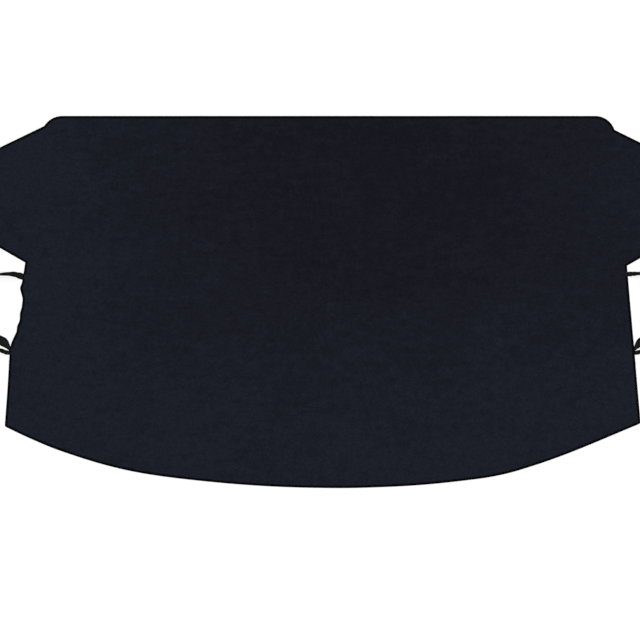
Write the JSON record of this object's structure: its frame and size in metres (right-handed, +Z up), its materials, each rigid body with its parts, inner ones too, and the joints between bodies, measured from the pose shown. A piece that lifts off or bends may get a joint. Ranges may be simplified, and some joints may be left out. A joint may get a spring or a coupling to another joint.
{
  "type": "windshield frost cover",
  "caption": "Dark cloth frost cover for a car windscreen, with door flaps, a taped edge and elastic straps for the wing mirrors, laid out flat.",
  "frame": {"origin": "on the floor, below the middle of the cover's overall box", "axes": "+X across the car, towards the cover's right flap as pictured; +Y towards the straight top edge; +Z up out of the laid cloth"},
  "size_m": [1.7718, 0.892, 0.022],
  "materials": {
    "navy_cloth": "dark navy coated polyester cloth, matt with a faint sheen",
    "black_tape": "black woven binding tape, matt",
    "black_elastic": "black ribbed elastic band, matt"
  },
  "bodies": {
    "root": {"cover_sheet": "navy_cloth", "edge_binding": "black_tape", "left_mirror_strap": "black_elastic", "right_mirror_strap": "black_elastic", "left_tie_strap": "black_elastic", "right_tie_strap": "black_elastic"}
  },
  "joints": []
}
